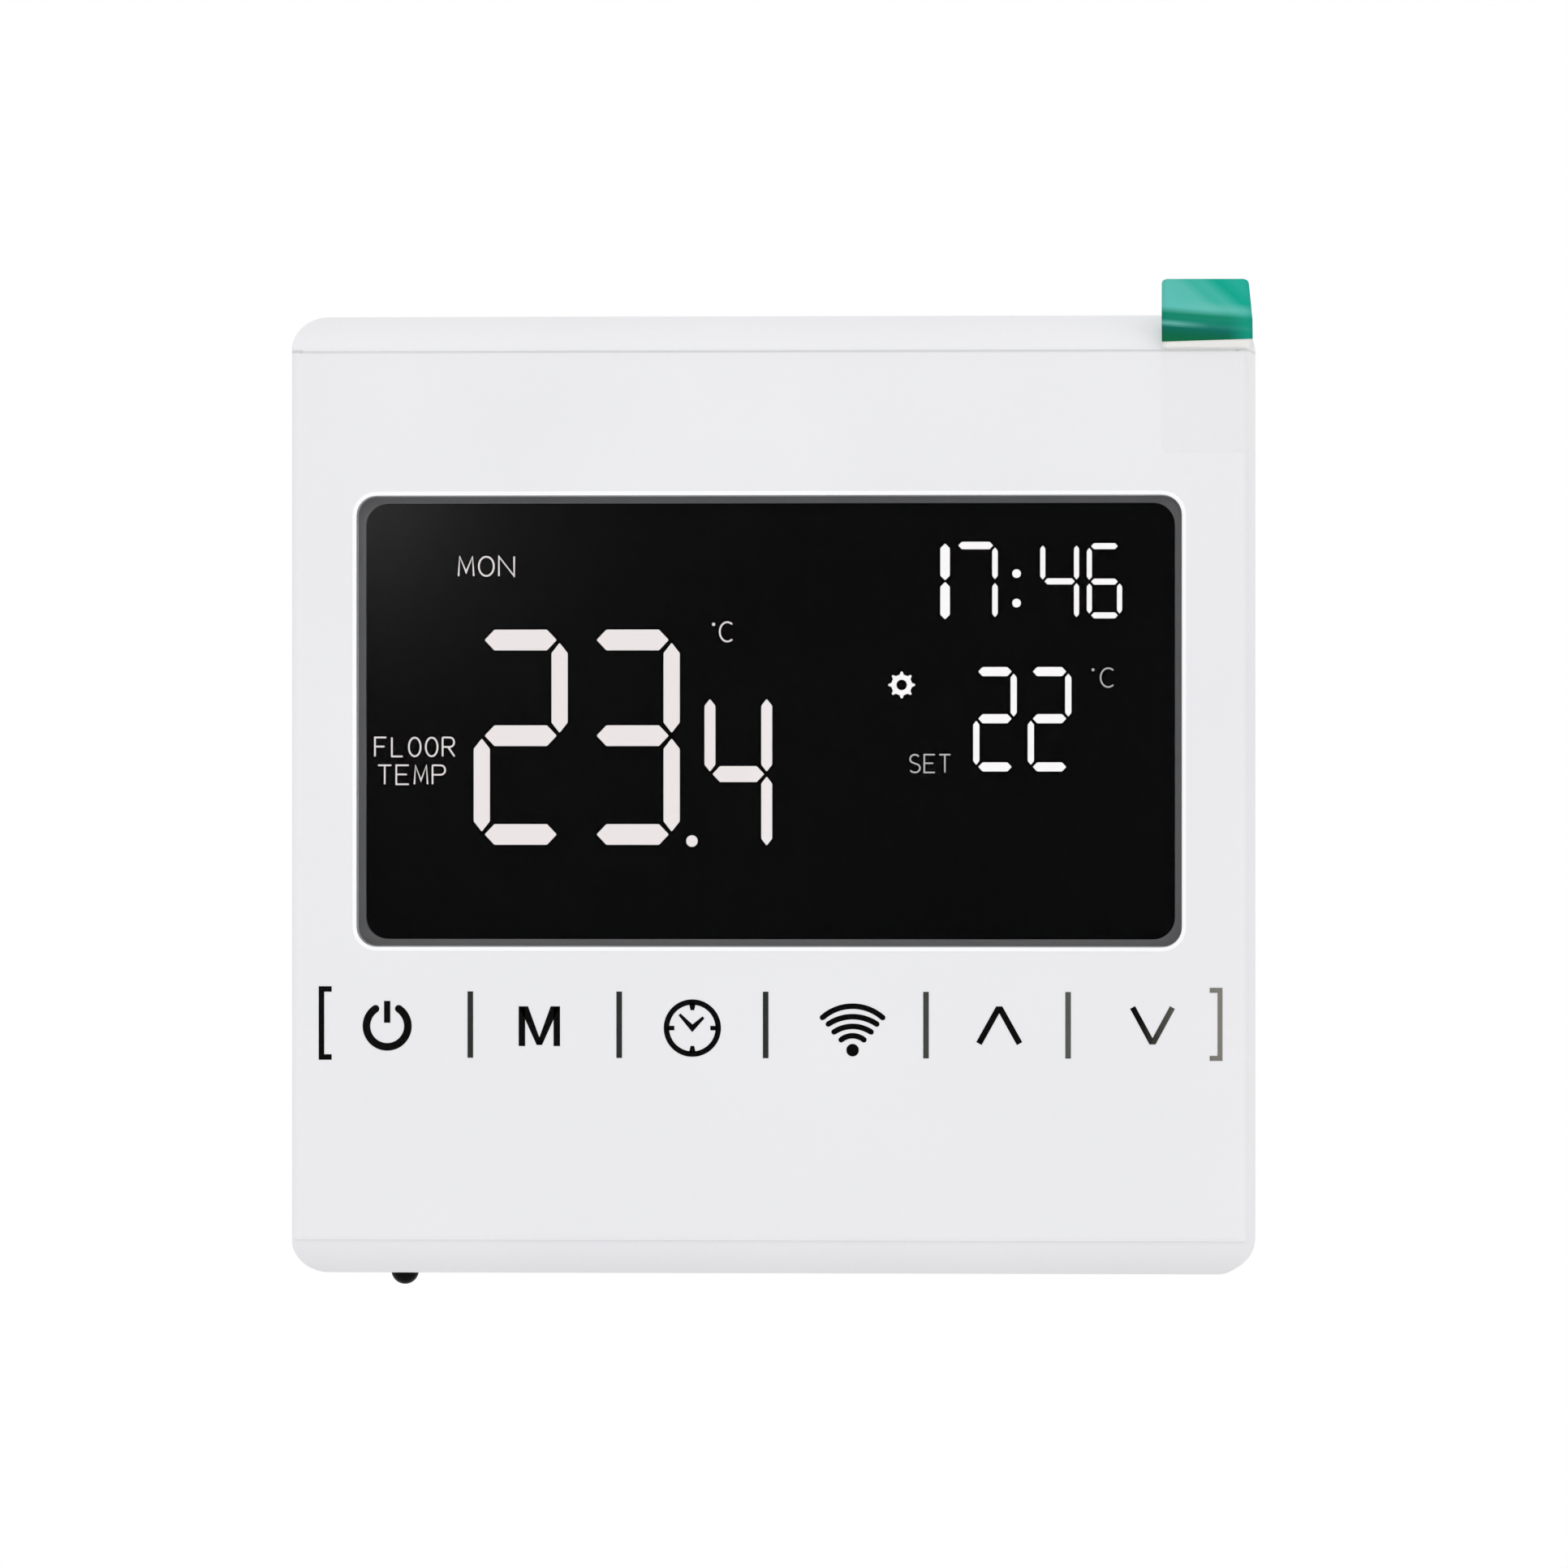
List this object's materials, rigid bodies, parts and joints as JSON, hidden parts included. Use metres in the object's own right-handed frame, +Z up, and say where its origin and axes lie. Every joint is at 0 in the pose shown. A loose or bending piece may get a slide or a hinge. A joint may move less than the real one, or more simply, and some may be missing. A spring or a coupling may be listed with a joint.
{
  "type": "wall thermostat",
  "caption": "Square white wall thermostat with a dark display window, a row of touch keys, a peelable screen film and a pull-off front on a flush-box power unit with screw terminals.",
  "frame": {"origin": "middle of the wall face, half way between the two wall screws", "axes": "+X right as seen from the room, +Y into the wall, +Z up; the face looks along -Y"},
  "size_m": [0.0865, 0.0417, 0.0903],
  "materials": {
    "white_plastic": "satin moulded white",
    "lens": "polished dark tint",
    "lcd_glass": "dark display glass",
    "light_guide": "milky",
    "tinned_metal": "tin plated",
    "circuit_board": "solder resist",
    "steel": "nickel plated",
    "spring_steel": "bright",
    "black_resin": "moulded resin",
    "radio_board": "solder resist",
    "black_plastic": "moulded",
    "clear_film": "clear",
    "green_tape": "glossy",
    "zinc_plate": "zinc plated",
    "housing_plastic": "fine texture",
    "brass": "bright",
    "relay_case": "moulded",
    "ferrite": "ground",
    "winding_tape": "taped",
    "aluminium_can": "sleeved",
    "capacitor_case": "moulded",
    "varistor_coat": "dipped",
    "fuse_glass": "capped glass",
    "terminal_plastic": "moulded"
  },
  "bodies": {
    "base": {"mounting_plate": "zinc_plate", "latch_clips": "spring_steel", "rear_housing": "housing_plastic", "flange_screws": "steel", "inner_cover": "housing_plastic", "power_board": "circuit_board", "power_board_screws": "steel", "pin_header_base": "black_plastic", "pin_header_pins": "brass", "relay": "relay_case", "transformer_core": "ferrite", "transformer_bobbin": "winding_tape", "smoothing_cans": "aluminium_can", "film_capacitor": "capacitor_case", "varistor": "varistor_coat", "fuse": "fuse_glass", "terminal_block": "terminal_plastic", "terminal_contacts": "brass"},
    "front": {"front_cover": "white_plastic", "display_window": "lens", "lcd_panel": "lcd_glass", "lcd_backlight": "light_guide", "lcd_pins": "tinned_metal", "control_board": "circuit_board", "board_screws": "steel", "touch_springs": "spring_steel", "air_sensor": "black_resin", "radio_board": "radio_board", "radio_shield": "tinned_metal", "control_chip": "black_resin", "board_socket": "black_plastic"},
    "film": {"screen_film": "clear_film", "pull_tab": "green_tape"},
    "screw_1": {"terminal_screw_1": "steel"},
    "clamp_1": {"terminal_clamp_1": "brass"},
    "screw_2": {"terminal_screw_2": "steel"},
    "clamp_2": {"terminal_clamp_2": "brass"},
    "screw_3": {"terminal_screw_3": "steel"},
    "clamp_3": {"terminal_clamp_3": "brass"},
    "screw_4": {"terminal_screw_4": "steel"},
    "clamp_4": {"terminal_clamp_4": "brass"},
    "screw_5": {"terminal_screw_5": "steel"},
    "clamp_5": {"terminal_clamp_5": "brass"},
    "screw_6": {"terminal_screw_6": "steel"},
    "clamp_6": {"terminal_clamp_6": "brass"}
  },
  "joints": [
    {"name": "front_pull", "type": "slide", "parent": "base", "child": "front", "axis": [0, -1, 0], "range_m": [0, 0.026], "deforming": ["latch_clips"]},
    {"name": "film_lift", "type": "slide", "parent": "front", "child": "film", "axis": [0, -1, 0], "range_m": [0, 0.03]},
    {"name": "terminal_turn_1", "type": "hinge", "parent": "base", "child": "screw_1", "pos_m": [-0.018, 0.0223, -0.0203], "axis": [0, -1, 0], "range_deg": [0, 2160]},
    {"name": "clamp_rise_1", "type": "slide", "parent": "base", "child": "clamp_1", "axis": [0, 1, 0], "range_m": [0, 0.003]},
    {"name": "terminal_turn_2", "type": "hinge", "parent": "base", "child": "screw_2", "pos_m": [-0.0108, 0.0223, -0.0203], "axis": [0, -1, 0], "range_deg": [0, 2160]},
    {"name": "clamp_rise_2", "type": "slide", "parent": "base", "child": "clamp_2", "axis": [0, 1, 0], "range_m": [0, 0.003]},
    {"name": "terminal_turn_3", "type": "hinge", "parent": "base", "child": "screw_3", "pos_m": [-0.0036, 0.0223, -0.0203], "axis": [0, -1, 0], "range_deg": [0, 2160]},
    {"name": "clamp_rise_3", "type": "slide", "parent": "base", "child": "clamp_3", "axis": [0, 1, 0], "range_m": [0, 0.003]},
    {"name": "terminal_turn_4", "type": "hinge", "parent": "base", "child": "screw_4", "pos_m": [0.0036, 0.0223, -0.0203], "axis": [0, -1, 0], "range_deg": [0, 2160]},
    {"name": "clamp_rise_4", "type": "slide", "parent": "base", "child": "clamp_4", "axis": [0, 1, 0], "range_m": [0, 0.003]},
    {"name": "terminal_turn_5", "type": "hinge", "parent": "base", "child": "screw_5", "pos_m": [0.0108, 0.0223, -0.0203], "axis": [0, -1, 0], "range_deg": [0, 2160]},
    {"name": "clamp_rise_5", "type": "slide", "parent": "base", "child": "clamp_5", "axis": [0, 1, 0], "range_m": [0, 0.003]},
    {"name": "terminal_turn_6", "type": "hinge", "parent": "base", "child": "screw_6", "pos_m": [0.018, 0.0223, -0.0203], "axis": [0, -1, 0], "range_deg": [0, 2160]},
    {"name": "clamp_rise_6", "type": "slide", "parent": "base", "child": "clamp_6", "axis": [0, 1, 0], "range_m": [0, 0.003]}
  ],
  "couplings": [
    {"joint": "terminal_turn_1", "follows": "clamp_rise_1", "rad_per_m": 12566},
    {"joint": "terminal_turn_2", "follows": "clamp_rise_2", "rad_per_m": 12566},
    {"joint": "terminal_turn_3", "follows": "clamp_rise_3", "rad_per_m": 12566},
    {"joint": "terminal_turn_4", "follows": "clamp_rise_4", "rad_per_m": 12566},
    {"joint": "terminal_turn_5", "follows": "clamp_rise_5", "rad_per_m": 12566},
    {"joint": "terminal_turn_6", "follows": "clamp_rise_6", "rad_per_m": 12566}
  ]
}
